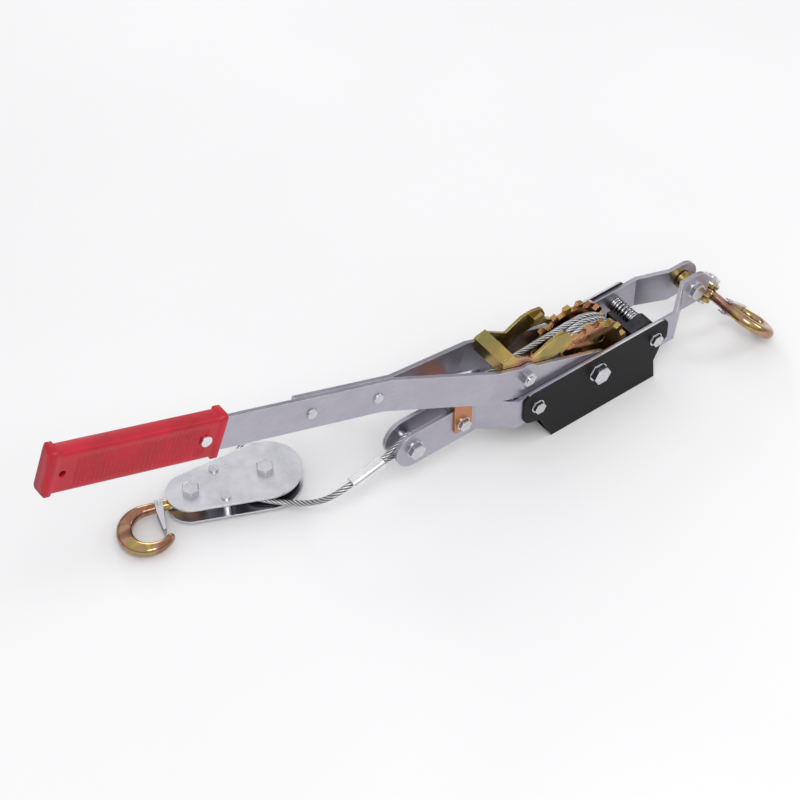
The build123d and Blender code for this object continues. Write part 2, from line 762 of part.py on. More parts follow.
def cable_route():
    """The free cable's centreline, from the drum to the mouth of the ferrule."""
    return [
        (-2.0, LANE_Y, 80.9), (-62, 2.2, 79.6), (-122, 0, 76.0), (-146, 6, 75.8), (-166, 22, 71.0),
        (-182, 47, 56.0), (-192, 82, 33.0), (-200, 118, 13.0), (-220, 131, 4.6), (-244, 128, 3.6),
        (-261.5, 106, 8.6), (-286.1, 78.8, BLOCK_Z), (-287.7, 61.4, BLOCK_Z), (-277.6, 47.1, BLOCK_Z),
        (-266, 35, 10.2), (-257, 21, 15.5), (-249, 7.5, 26.0), (-238.74, 0, 35.5),
        tuple(FERRULE_END),
    ]


def corner_radii(points):
    """0.45 of the shorter run over the tangent of half the turn, for each corner."""
    radii = []
    for a, b, c in zip(points, points[1:], points[2:]):
        run_in, run_out = Vector(b) - Vector(a), Vector(c) - Vector(b)
        half = radians(run_in.get_angle(run_out) / 2)
        radii.append(0.45 * min(run_in.length, run_out.length) / tan(half))
    return radii


def free_cable():
    points = cable_route()
    radii = corner_radii(points)
    print("cable bend radii, mm:", [round(r, 1) for r in radii])
    with BuildPart() as cable:
        with BuildLine() as path:
            FilletPolyline(*points, radius=radii)
        wire = path.wires()[0]
        with BuildSketch(Plane(origin=wire @ 0, z_dir=wire % 0)):
            Circle(ROPE_R)
        sweep(path=wire)
    print("cable length, mm:", round(wire.length, 1))
    print("volume over section times length:", round(cable.part.volume / (pi * ROPE_R**2 * wire.length), 4))
    keep(cable, "free_cable")


def ferrule():
    """The sleeve crimped over the cable's two legs."""
    axis = (FERRULE_END - FERRULE_TOP).normalized()
    length = (FERRULE_END - FERRULE_TOP).length
    with BuildPart() as crimp:
        with BuildSketch(Plane(origin=FERRULE_TOP, x_dir=(0, 1, 0), z_dir=axis)):
            SlotCenterToCenter(2.4, 8.4)
        extrude(amount=length)
        chamfer(crimp.edges().group_by(Axis.X)[0] + crimp.edges().group_by(Axis.X)[-1], 0.7)
    keep(crimp, "cable_ferrule")


def cable_eye():
    """The cable's eye, from the ferrule round the anchor spool and back."""
    axis = (FERRULE_TOP - FERRULE_END).normalized()
    along = Vector(axis.X, 0, axis.Z)
    up = Vector(-along.Z, 0, along.X)
    centre = Vector(ANCHOR_X, 0, ANCHOR_Z)
    eye_r = 8.2
    top = FERRULE_TOP
    with BuildPart() as eye:
        start_up = top + up * 2.2
        start_down = top - up * 2.2
        to_centre = (centre - top)
        ahead = to_centre.normalized()
        square = Vector(-ahead.Z, 0, ahead.X)
        with BuildLine() as path:
            FilletPolyline(
                tuple(start_up), tuple(centre - ahead * 6 + square * eye_r),
                tuple(centre + ahead * eye_r + square * eye_r), tuple(centre + ahead * eye_r - square * eye_r),
                tuple(centre - ahead * 6 - square * eye_r), tuple(start_down),
                radius=[4, 7.6, 7.6, 4],
            )
        wire = path.wires()[0]
        with BuildSketch(Plane(origin=wire @ 0, z_dir=wire % 0)):
            Circle(ROPE_R - 0.3)
        sweep(path=wire)
    keep(eye, "cable_eye")


# ---- everything ---------------------------------------------------------------------------------

frame_strap("near_side_strap", -1)
frame_strap("far_side_strap", 1)
drum_guard()
hex_bolt("drum_axle_bolt", 0, AXLE_Z, AXLE_R, 15, 7, -GUARD_OUT, GUARD_OUT + 9)
hex_nut("drum_axle_nut", 0, AXLE_Z, AXLE_R, 15, 7, GUARD_OUT)
hex_bolt("tie_bolt", TIE_X, AXLE_Z, 3.0, 10, 4.5, -GUARD_OUT, GUARD_OUT + 6)
hex_nut("tie_bolt_nut", TIE_X, AXLE_Z, 3.0, 10, 5, GUARD_OUT)
sleeve("tie_bolt_sleeve", TIE_X, AXLE_Z, 5.5, 3.05, -STRAP_IN, STRAP_IN)
hex_bolt("pawl_shaft", PAWL_X, AXLE_Z, 3.5, 10, 4.5, -GUARD_OUT, GUARD_OUT + 6)
hex_nut("pawl_shaft_nut", PAWL_X, AXLE_Z, 3.5, 10, 5, GUARD_OUT)
sleeve("pawl_shaft_sleeve", PAWL_X, AXLE_Z, 7.5, 3.55, -3.6, -1.9)
torsion_spring("holding_pawl_spring", PAWL_X, AXLE_Z, 6.8, 1.8, -1.8, STRAP_IN)
cable_guide()
hex_bolt("guide_bolt", GUIDE_X, GUIDE_Z, 3.0, 10, 4.5, -FRONT_GAP - SHEET - 2.0, FRONT_GAP + SHEET + 8)
hex_nut("guide_nut", GUIDE_X, GUIDE_Z, 3.0, 10, 5, FRONT_GAP + SHEET + 2.0)
hex_bolt("anchor_bolt", ANCHOR_X, ANCHOR_Z, 4.0, 13, 5.5, -FRONT_GAP - SHEET, FRONT_GAP + SHEET + 8)
hex_nut("anchor_nut", ANCHOR_X, ANCHOR_Z, 4.0, 13, 6.5, FRONT_GAP + SHEET)
sleeve("anchor_spool", ANCHOR_X, ANCHOR_Z, 5.6, 4.05, -FRONT_GAP, FRONT_GAP)
hex_bolt("clevis_bolt", CLEVIS_X, CLEVIS_Z, 4.0, 13, 5.5, -REAR_GAP - SHEET, REAR_GAP + SHEET + 8)
hex_nut("clevis_nut", CLEVIS_X, CLEVIS_Z, 4.0, 13, 6.5, REAR_GAP + SHEET)

ratchet_wheel("near_ratchet_wheel", -WHEEL_OUT, -DRUM_HALF)
ratchet_wheel("far_ratchet_wheel", DRUM_HALF, WHEEL_OUT)
drum_barrel()
wound_cable()

lever_strap("lever_long_strap", -1, LEVER_LONG, 0.1)
lever_strap("lever_short_strap", 1, LEVER_SHORT, 0.1)
lever_rivets()
lever_grip()
grip_pin()
pawl_pivots()
lever_bushes()
drive_pawl_yoke()
drive_pawl_teeth()
holding_pawl()

block_plate("block_bottom_plate", BLOCK_Z - PLATE_GAP - PLATE_T)
block_plate("block_top_plate", BLOCK_Z + PLATE_GAP)
block_bolt("sheave_bolt", SHEAVE)
block_bolt("front_hook_bolt", HOOK_BOLT)
sheave()
block_rivets()

front_reach = Vector(-44, -6, 0).normalized()
front_flat = Plane(origin=(HOOK_BOLT[0], HOOK_BOLT[1], BLOCK_Z), x_dir=front_reach, z_dir=(0, 0, 1))
droop = radians(HOOK_DROOP)
front_bowl = Plane(
    origin=front_flat.origin,
    x_dir=front_reach * cos(droop) - Vector(0, 0, 1) * sin(droop),
    z_dir=front_reach * sin(droop) + Vector(0, 0, 1) * cos(droop),
)
hook("front_hook", front_flat, front_bowl, 5.0 + RUN_GAP)
hook_latch("front_hook_latch", "front_latch_pin", front_bowl)

rear_link()
link_bolt()
rear_reach = LINK_DIR * cos(radians(HOOK_TURN)) - Vector(0, 1, 0) * sin(radians(HOOK_TURN))
rear_plane = Plane(origin=REAR_EYE, x_dir=rear_reach, z_dir=LINK_UP)
hook("rear_hook", rear_plane, rear_plane, 4.0 + RUN_GAP)
hook_latch("rear_hook_latch", "rear_latch_pin", rear_plane)

free_cable()
ferrule()
cable_eye()
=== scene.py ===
import json
from math import cos, pi, radians, sin

import bmesh
import bpy
from mathutils import Matrix, Vector


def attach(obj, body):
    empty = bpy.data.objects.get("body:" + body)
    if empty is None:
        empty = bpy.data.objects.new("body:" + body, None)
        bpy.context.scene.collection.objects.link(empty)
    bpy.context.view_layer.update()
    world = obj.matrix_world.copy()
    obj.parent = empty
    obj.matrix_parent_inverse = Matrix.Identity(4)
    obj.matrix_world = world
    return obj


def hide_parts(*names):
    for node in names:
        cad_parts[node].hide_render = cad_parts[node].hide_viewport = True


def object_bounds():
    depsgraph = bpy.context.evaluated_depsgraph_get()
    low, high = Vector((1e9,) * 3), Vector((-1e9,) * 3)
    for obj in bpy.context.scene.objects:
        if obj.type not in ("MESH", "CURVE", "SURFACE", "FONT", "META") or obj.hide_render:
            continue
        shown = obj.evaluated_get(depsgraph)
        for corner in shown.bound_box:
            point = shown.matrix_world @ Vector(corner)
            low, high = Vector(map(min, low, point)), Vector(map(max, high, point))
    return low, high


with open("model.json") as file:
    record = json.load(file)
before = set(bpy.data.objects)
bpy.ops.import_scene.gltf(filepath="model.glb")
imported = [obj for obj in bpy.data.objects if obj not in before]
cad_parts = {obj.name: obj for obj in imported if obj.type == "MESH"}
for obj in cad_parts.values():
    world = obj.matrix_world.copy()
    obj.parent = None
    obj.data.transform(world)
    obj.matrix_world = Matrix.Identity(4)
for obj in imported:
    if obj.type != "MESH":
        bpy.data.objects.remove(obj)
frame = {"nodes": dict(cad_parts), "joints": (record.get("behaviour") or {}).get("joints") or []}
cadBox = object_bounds()
nodes = frame["nodes"]
print("frame loaded:", len(nodes), "nodes")

mm = 0.001
axleHeight = 46 * mm

# camera and studio

studio = {
    "azimuth": -36.8, "elevation": 47.2, "distance": 1.72, "lens": 100, "slideRight": 0.0, "slideUp": -0.045,
    "floorTone": 0.88, "worldTone": 0.82, "sky": [(0.05, 0.3), (0.7, 1.0)],
    "lights": [
        ("keyLight", (-0.7, -0.9, 1.7), 0.9, 13),
        ("sideLight", (1.5, -0.6, 0.9), 0.5, 5),
        ("backLight", (0.5, 1.7, 0.7), 0.6, 5),
    ],
}


def makeCamera(cfg):
    a, e = radians(cfg["azimuth"]), radians(cfg["elevation"])
    back = Vector((sin(a) * cos(e), -cos(a) * cos(e), sin(e)))
    right = Vector((cos(a), sin(a), 0))
    up = back.cross(right)
    target = (Vector(cadBox[0]) + Vector(cadBox[1])) / 2
    target += right * cfg["slideRight"] + up * cfg["slideUp"]
    camera = bpy.data.objects.new("camera", bpy.data.cameras.new("camera"))
    bpy.context.scene.collection.objects.link(camera)
    camera.data.lens = cfg["lens"]
    camera.location = target + back * cfg["distance"]
    camera.rotation_euler = back.to_track_quat("Z", "Y").to_euler()
    bpy.context.scene.camera = camera


makeCamera(studio)


# node helpers

# a socket that maths can be written with
class Value:
    def __init__(self, paint, socket):
        self.paint, self.socket = paint, socket

    def combine(self, operation, first, second):
        return self.paint.node("ShaderNodeMath", {"operation": operation}, {0: first, 1: second})

    def __add__(self, other):
        return self.combine("ADD", self, other)

    def __radd__(self, other):
        return self.combine("ADD", other, self)

    def __sub__(self, other):
        return self.combine("SUBTRACT", self, other)

    def __rsub__(self, other):
        return self.combine("SUBTRACT", other, self)

    def __mul__(self, other):
        return self.combine("MULTIPLY", self, other)

    def __rmul__(self, other):
        return self.combine("MULTIPLY", other, self)


class Paint:
    def __init__(self, owner, surface="Principled BSDF", where="Object"):
        owner.use_nodes = True
        self.owner, self.tree = owner, owner.node_tree
        self.surface = self.tree.nodes[surface]
        self.place = self.node("ShaderNodeTexCoord", {}, {}, where)

    def node(self, kind, settings, values, output=0):
        made = self.tree.nodes.new(kind)
        for key, value in settings.items():
            if key == "stops":
                ramp = made.color_ramp
                while len(ramp.elements) < len(value):
                    ramp.elements.new(0.5)
                for element, (position, colour) in zip(ramp.elements, value):
                    element.position = position
                    element.color = (*colour, 1) if len(colour) == 3 else colour
            else:
                setattr(made, key, value)
        for key, value in values.items():
            self.feed(made.inputs[key], value)
        return Value(self, made.outputs[output])

    def feed(self, socket, value):
        if isinstance(value, Value):
            self.tree.links.new(value.socket, socket)
        elif isinstance(value, (tuple, list)) and len(value) == 3 and socket.type == "RGBA":
            socket.default_value = (*value, 1)
        else:
            socket.default_value = value

    def set(self, **values):
        for name, value in values.items():
            self.feed(self.surface.inputs[name.replace("_", " ")], value)

    def scaled(self, factors):
        return self.node("ShaderNodeMapping", {}, {"Vector": self.place, "Scale": factors})

    def cloud(self, scale, detail=4.0, rough=0.55, stretch=None, distortion=0.0):
        where = self.scaled(stretch) if stretch else self.place
        return self.node("ShaderNodeTexNoise", {}, {
            "Vector": where, "Scale": scale, "Detail": detail, "Roughness": rough, "Distortion": distortion,
        })

    def ramp(self, factor, stops):
        return self.node("ShaderNodeValToRGB", {"stops": stops}, {"Fac": factor})

    def fit(self, value, low, high, toLow, toHigh):
        return self.node("ShaderNodeMapRange", {}, {
            "Value": value, "From Min": low, "From Max": high, "To Min": toLow, "To Max": toHigh,
        })

    def blend(self, factor, a, b, kind="MIX"):
        return self.node("ShaderNodeMix", {"data_type": "RGBA", "blend_type": kind}, {0: factor, 6: a, 7: b}, 2)

    def bump(self, height, strength, distance, rounded=None):
        values = {"Height": height, "Strength": strength, "Distance": distance}
        if rounded:
            values["Normal"] = self.node("ShaderNodeBevel", {"samples": 4}, {"Radius": rounded})
        return self.node("ShaderNodeBump", {}, values)

    # one near sharp edges and nothing on flats: a mask that lightens colour along edges, partly as rubbed-bright
    # wear and partly as a painted edge highlight
    def edges(self, radius, low=0.02, high=0.16):
        soft = self.node("ShaderNodeBevel", {"samples": 4}, {"Radius": radius})
        flat = self.node("ShaderNodeNewGeometry", {}, {}, "Normal")
        alike = self.node("ShaderNodeVectorMath", {"operation": "DOT_PRODUCT"}, {0: soft, 1: flat}, "Value")
        return self.fit(1 - alike, low, high, 0.0, 1.0)


# finishes

# satin zinc plate: rolled streaks, faint mottling and small scuffs, with edges lightened as rubbed-bright wear and
# as a painted edge highlight
def sheetZinc(name, light, dark, rough, rounded=0.6 * mm):
    p = Paint(bpy.data.materials.new(name))
    streak = p.cloud(90, 6, 0.6, (1, 1, 9))
    mottle = p.cloud(38, 5, 0.6)
    scuff = p.cloud(420, 3, 0.7)
    tone = p.fit(streak * 0.45 + mottle * 0.55, 0.35, 0.65, 0.0, 1.0)
    # lighter edge colour: rubbed-bright zinc and a painted edge highlight
    wornAndHighlit = tuple(min(c * 1.5 + 0.1, 0.95) for c in light)
    p.set(Base_Color=p.blend(p.edges(rounded * 1.4) * 0.75, p.ramp(tone, [(0, dark), (1, light)]), wornAndHighlit),
          Metallic=1.0,
          Roughness=p.fit(mottle * 0.6 + scuff * 0.4, 0.3, 0.7, rough - 0.06, rough + 0.09),
          Normal=p.bump(scuff * 0.4 + streak * 0.6, 0.06, 0.1 * mm, rounded))
    return p.owner


# iridescent passivated zinc: soft patches of gold, olive and rose, paler along the edges, partly as wear and partly
# as a painted edge highlight
def chromate(name, stops, rough=0.2, scale=26, rimWearAndHighlight=(0.86, 0.74, 0.42)):
    p = Paint(bpy.data.materials.new(name))
    patch = p.cloud(scale, 2, 0.45, None, 0.8)
    fine = p.cloud(scale * 5, 3, 0.5)
    grain = p.cloud(900, 2, 0.5)
    shade = p.fit(patch * 0.9 + fine * 0.1, 0.32, 0.68, 0.0, 1.0)
    # the pale rim colour along the edges is partly wear and partly a painted edge highlight
    p.set(Base_Color=p.blend(p.edges(0.7 * mm) * 0.6, p.ramp(shade, stops), rimWearAndHighlight), Metallic=1.0,
          Roughness=p.fit(fine, 0.3, 0.7, rough - 0.04, rough + 0.07),
          Normal=p.bump(grain, 0.05, 0.08 * mm, 0.45 * mm))
    return p.owner


# semi-gloss paint with orange peel and dust, its upward-facing top edge painted bright and metallic, partly as bare
# worn metal and partly as a painted highlight
def blackPaint():
    p = Paint(bpy.data.materials.new("guardBlack"))
    peel = p.cloud(520, 2, 0.4)
    dust = p.cloud(60, 6, 0.65)
    height = p.node("ShaderNodeSeparateXYZ", {}, {"Vector": p.place}, "Z")
    facing = p.node("ShaderNodeSeparateXYZ", {}, {"Vector": p.node("ShaderNodeTexCoord", {}, {}, "Normal")}, "Z")
    # bright top edge picked by height and upward facing: bare worn metal and a painted highlight
    topEdgeWearAndHighlight = p.fit(height + dust * 0.0006, 0.0629, 0.0634, 0.0, 1.0) * p.fit(facing, 0.4, 0.8, 0.0, 1.0)
    paint = p.ramp(dust, [(0.3, (0.004, 0.004, 0.005)), (0.75, (0.011, 0.011, 0.013))])
    p.set(Base_Color=p.blend(topEdgeWearAndHighlight, paint, (0.78, 0.78, 0.8)), Metallic=topEdgeWearAndHighlight, Specular_IOR_Level=0.12,
          Roughness=p.fit(dust, 0.3, 0.75, 0.3, 0.46) - topEdgeWearAndHighlight * 0.08,
          Normal=p.bump(peel, 0.14, 0.12 * mm, 0.5 * mm))
    return p.owner


# red moulded plastic with a fine spark-eroded grain
def gripRed():
    p = Paint(bpy.data.materials.new("gripRed"))
    grain = p.cloud(1500, 2, 0.5)
    cloudy = p.cloud(45, 4, 0.55)
    p.set(Base_Color=p.ramp(cloudy, [(0.3, (0.40, 0.003, 0.014)), (0.7, (0.54, 0.006, 0.026))]),
          Roughness=p.fit(cloudy + grain * 0.3, 0.4, 0.9, 0.38, 0.52), Coat_Weight=0.12,
          Normal=p.bump(grain, 0.16, 0.08 * mm, 0.35 * mm))
    p.set(Coat_Roughness=0.35, Specular_IOR_Level=0.4)
    return p.owner


# phosphated or black-oxide steel with rubbed patches
def darkMetal(name, tone, rough):
    p = Paint(bpy.data.materials.new(name))
    rub = p.cloud(120, 6, 0.65)
    grain = p.cloud(800, 2, 0.5)
    light = tuple(c * 2.6 for c in tone)
    p.set(Base_Color=p.ramp(rub, [(0.35, tone), (0.8, light)]), Metallic=0.85,
          Roughness=p.fit(rub, 0.3, 0.75, rough + 0.08, rough - 0.08), Normal=p.bump(grain, 0.2, 0.1 * mm, 0.4 * mm))
    return p.owner


# galvanised strand: painted shade darkens the grooves between strands and, faintly, the gaps between the single
# wires winding across each
def ropeSteel():
    p = Paint(bpy.data.materials.new("ropeSteel"))
    cord = p.node("ShaderNodeUVMap", {"uv_map": "along"}, {})
    across = p.node("ShaderNodeSeparateXYZ", {}, {"Vector": cord}, "X")
    along = p.node("ShaderNodeSeparateXYZ", {}, {"Vector": cord}, "Y")
    # this mask is light on the strand crests and dark in the grooves between strands, a painted shade
    strandShading = p.node("ShaderNodeMath", {"operation": "PINGPONG"}, {0: across, 1: 0.5}) * 2
    wires = p.node("ShaderNodeMath", {"operation": "PINGPONG"}, {0: across * 3 - along * 2.2, 1: 0.5}) * 2
    dirt = p.cloud(240, 4, 0.6)
    tone = p.fit(strandShading * 0.85 + wires * 0.12 + dirt * 0.4, 0.25, 1.15, 0.0, 1.0)
    p.set(Base_Color=p.ramp(tone, [(0, (0.05, 0.05, 0.055)), (0.35, (0.27, 0.27, 0.28)), (0.7, (0.62, 0.62, 0.63)),
                                   (1, (0.82, 0.82, 0.83))]),
          Metallic=0.95, Roughness=p.fit(dirt, 0.3, 0.7, 0.26, 0.4), Normal=p.bump(wires, 0.4, 0.12 * mm))
    return p.owner


gold, olive, straw = (0.56, 0.38, 0.12), (0.27, 0.25, 0.09), (0.66, 0.56, 0.30)
rose, copper = (0.56, 0.25, 0.19), (0.56, 0.25, 0.11)

finish = {
    "strapZinc": sheetZinc("strapZinc", (0.50, 0.485, 0.55), (0.41, 0.395, 0.455), 0.36),
    "brightZinc": sheetZinc("brightZinc", (0.76, 0.76, 0.78), (0.5, 0.5, 0.53), 0.16, 0.4 * mm),
    "plateZinc": sheetZinc("plateZinc", (0.74, 0.74, 0.77), (0.57, 0.57, 0.61), 0.3),
    "springSteel": sheetZinc("springSteel", (0.6, 0.6, 0.62), (0.32, 0.32, 0.34), 0.18, 0.2 * mm),
    "yellowChromate": chromate("yellowChromate", [(0, olive), (0.4, (0.36, 0.27, 0.09)), (0.75, gold), (1, rose)]),
    "wheelChromate": chromate("wheelChromate", [(0, rose), (0.35, copper), (0.7, gold), (1, straw)], 0.2, 34),
    "hookChromate": chromate("hookChromate", [
        (0, (0.22, 0.13, 0.08)), (0.3, (0.36, 0.18, 0.11)), (0.6, (0.52, 0.29, 0.21)),
        (0.8, (0.4, 0.3, 0.13)), (1, gold),
    ], 0.17, 55),
    "guideChromate": chromate("guideChromate", [(0, (0.45, 0.17, 0.08)), (0.5, copper), (1, rose)], 0.32, 40),
    "guardBlack": blackPaint(),
    "gripRed": gripRed(),
    "darkSteel": darkMetal("darkSteel", (0.03, 0.03, 0.034), 0.42),
    "sheaveBlack": darkMetal("sheaveBlack", (0.02, 0.02, 0.024), 0.4),
    "ferrule": sheetZinc("ferruleMetal", (0.93, 0.93, 0.94), (0.82, 0.82, 0.84), 0.24),
    "rope": ropeSteel(),
}
print("finishes made:", len(finish))

painted = {
    "strapZinc": ["near_side_strap", "far_side_strap", "lever_long_strap", "lever_short_strap"],
    "guardBlack": ["drum_guard"],
    "plateZinc": ["block_bottom_plate", "block_top_plate", "front_hook_latch", "rear_hook_latch"],
    "yellowChromate": ["drive_pawl_yoke", "drive_pawl_teeth", "drive_pawl_rivets", "drum_barrel", "rear_link"],
    "wheelChromate": ["near_ratchet_wheel", "far_ratchet_wheel"],
    "hookChromate": ["front_hook", "rear_hook"],
    "guideChromate": ["cable_guide_bracket"],
    "gripRed": ["lever_grip"],
    "darkSteel": ["holding_pawl"],
    "sheaveBlack": ["cable_sheave"],
    "ferrule": ["cable_ferrule"],
    "rope": ["wound_cable", "free_cable", "cable_eye"],
}


def paintNodes():
    chosen = {node: name for name, group in painted.items() for node in group}
    for name, piece in nodes.items():
        piece.data.materials.clear()
        piece.data.materials.append(finish[chosen.get(name, "brightZinc")])


paintNodes()


# mesh helpers

def meshObject(name, verts, faces, material, uvs=None, smooth=True):
    data = bpy.data.meshes.new(name)
    data.from_pydata([tuple(v) for v in verts], [], faces)
    data.materials.append(finish[material])
    if uvs:
        layer = data.uv_layers.new(name="along")
        for polygon in data.polygons:
            for loop, uv in zip(polygon.loop_indices, uvs[polygon.index]):
                layer.data[loop].uv = uv
    if smooth:
        data.polygons.foreach_set("use_smooth", [True] * len(data.polygons))
    piece = bpy.data.objects.new(name, data)
    bpy.context.scene.collection.objects.link(piece)
    return piece


def turnOutward(piece):
    bm = bmesh.new()
    bm.from_mesh(piece.data)
    bmesh.ops.recalc_face_normals(bm, faces=bm.faces)
    bm.to_mesh(piece.data)
    bm.free()


# a square pair of side directions at each point, carried along without twist
def framesAlong(points):
    tangents = []
    for i in range(len(points)):
        a, b = points[max(i - 1, 0)], points[min(i + 1, len(points) - 1)]
        tangents.append((b - a).normalized())
    side = tangents[0].orthogonal().normalized()
    found = []
    for tangent in tangents:
        side = (side - tangent * side.dot(tangent)).normalized()
        found.append((side, tangent.cross(side), tangent))
    return found


# points an even step apart along a line
def resample(points, step):
    out, left = [points[0]], step
    for a, b in zip(points, points[1:]):
        length = (b - a).length
        at = left
        while at <= length:
            out.append(a.lerp(b, at / length))
            at += step
        left = at - length
    if (out[-1] - points[-1]).length > step * 0.3:
        out.append(points[-1])
    return out


rope = {"radius": 2.5 * mm, "strands": 6, "lay": 27 * mm, "step": 1.0 * mm, "around": 48, "strand": 0.365}


# how far out the ring of strands reaches at an angle
def strandOutline(cfg, angle):
    half = pi / cfg["strands"]
    off = (angle % (2 * half)) - half
    out = 1 - cfg["strand"]
    reach = out * cos(off) + (max(cfg["strand"] ** 2 - (out * sin(off)) ** 2, 0)) ** 0.5
    return reach * cfg["radius"]


# a laid wire rope: a lobed section that turns as it goes along the points
def ropeMesh(name, points, cfg=rope):
    line = resample(points, cfg["step"])
    sides = framesAlong(line)
    count, around = len(line), cfg["around"]
    verts, faces, uvs = [], [], []
    for i, (point, (u, v, _)) in enumerate(zip(line, sides)):
        twist = 2 * pi * i * cfg["step"] / cfg["lay"]
        for k in range(around):
            angle = 2 * pi * k / around
            r = strandOutline(cfg, angle)
            verts.append(point + (u * cos(angle + twist) + v * sin(angle + twist)) * r)
    for i in range(count - 1):
        for k in range(around):
            n = (k + 1) % around
            faces.append((i * around + k, i * around + n, (i + 1) * around + n, (i + 1) * around + k))
            a0, a1 = k / around * cfg["strands"], (k + 1) / around * cfg["strands"]
            l0, l1 = i * cfg["step"] / (4 * mm), (i + 1) * cfg["step"] / (4 * mm)
            uvs.append([(a0, l0), (a1, l0), (a1, l1), (a0, l1)])
    faces.append(tuple(range(around))[::-1])
    faces.append(tuple((count - 1) * around + k for k in range(around)))
    uvs += [[(0, 0)] * around] * 2
    return meshObject(name, verts, faces, "rope", uvs), line


# free cable

freeCable = {
    "route": [
        (-2.0, 2.75, 80.9), (-62, 2.2, 79.6), (-122, 0, 76.0), (-146, 6, 75.8), (-166, 22, 71.0),
        (-182, 47, 56.0), (-192, 82, 33.0), (-200, 118, 13.0), (-220, 131, 4.6), (-244, 128, 3.6),
        (-261.5, 106, 8.6), (-286.1, 78.8, 10), (-287.7, 61.4, 10), (-277.6, 47.1, 10),
        (-266, 35, 10.2), (-257, 21, 15.5), (-249, 7.5, 26.0), (-238.74, 0, 35.5), (-227, 0, 38),
    ],
    "diameter": 5 * mm,
}


# the smooth line that the route's points control
def splinePoints(name, route):
    curve = bpy.data.curves.new(name, "CURVE")
    curve.dimensions = "3D"
    curve.resolution_u = 24
    spline = curve.splines.new("NURBS")
    spline.points.add(len(route) - 1)
    for point, place in zip(spline.points, route):
        point.co = (*[c * mm for c in place], 1)
    spline.order_u = 3
    spline.use_endpoint_u = True
    guide = bpy.data.objects.new(name, curve)
    bpy.context.scene.collection.objects.link(guide)
    mesh = bpy.data.meshes.new_from_object(guide)
    found = [v.co.copy() for v in mesh.vertices]
    bpy.data.objects.remove(guide)
    bpy.data.meshes.remove(mesh)
    return found


def makeFreeCable(cfg):
    line = splinePoints("freeCableLine", cfg["route"])
    piece, path = ropeMesh("freeCable", line)
    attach(piece, "frame")
    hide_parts("free_cable")
    length = sum((b - a).length for a, b in zip(path, path[1:]))
    print("free cable length:", round(length, 4))


makeFreeCable(freeCable)

# cable wound on the drum

windings = {"outer": 35.0, "inner": 29.8, "pitch": 5.35, "leave": 2.75, "start": -3.4, "steps": 40,
            "turnsOuter": 2.15, "turnsInner": 3.6}


# the last turns over a lower layer, a little uneven, from the place where the free end lifts off
def makeWoundCable(cfg):
    points = []
    turnsOuter = cfg["turnsOuter"]
    total = int((turnsOuter + cfg["turnsInner"]) * cfg["steps"])
    for i in range(total):
        turn = i / cfg["steps"]
        angle = radians(cfg["start"]) + 2 * pi * turn
        if turn < turnsOuter:
            radius = cfg["outer"] + 0.35 * sin(turn * 5.3) * min(turn * 2, 1)
            place = cfg["leave"] - cfg["pitch"] * turn
        else:
            below = turn - turnsOuter
            drop = min(below / 0.3, 1)
            radius = cfg["outer"] + (cfg["inner"] - cfg["outer"]) * drop
            place = cfg["leave"] - cfg["pitch"] * turnsOuter + (cfg["pitch"] - 0.1) * max(below - 0.3, 0)
        y = max(min(place, 8.3), -8.4) + 0.25 * sin(turn * 9.1) * min(turn * 2, 1)
        points.append(Vector((radius * sin(angle) * mm, y * mm, axleHeight + radius * cos(angle) * mm)))
    piece, _ = ropeMesh("woundCable", points)
    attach(piece, "drum")
    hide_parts("wound_cable")


makeWoundCable(windings)
print("cables made")

# the eye round the anchor spool

eyeShape = {"spool": (-172.0, 51.0), "mouth": (-196.0, 44.6), "reach": 8.4, "apart": 2.3}


def makeCableEye(cfg):
    cx, cz = cfg["spool"]
    mx, mz = cfg["mouth"]
    ahead = Vector((cx - mx, 0, cz - mz)).normalized()
    square = Vector((-ahead.z, 0, ahead.x))
    centre, mouth = Vector((cx, 0, cz)), Vector((mx, 0, mz))
    points = [mouth - ahead * 1.0 + square * cfg["apart"], mouth + ahead * 3 + square * cfg["apart"]]
    for i in range(25):
        angle = radians(118 - 236 * i / 24)
        points.append(centre + (ahead * cos(angle) + square * sin(angle)) * cfg["reach"])
    points += [mouth + ahead * 3 - square * cfg["apart"], mouth - ahead * 1.0 - square * cfg["apart"]]
    thin = dict(rope, radius=2.2 * mm)
    piece, _ = ropeMesh("cableEye", [p * mm for p in points], thin)
    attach(piece, "frame")
    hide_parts("cable_eye")


makeCableEye(eyeShape)

# grip

grip = {
    "angle": 20.6, "start": 366.0, "length": 146.0, "low": -16.5, "high": 19.5, "half": 7.0, "lip": 2.0,
    "lipLength": 5.5, "ribs": 30, "ribDepth": 0.8, "panel": 12.5, "hole": 11.0, "holeRadius": 2.6,
}


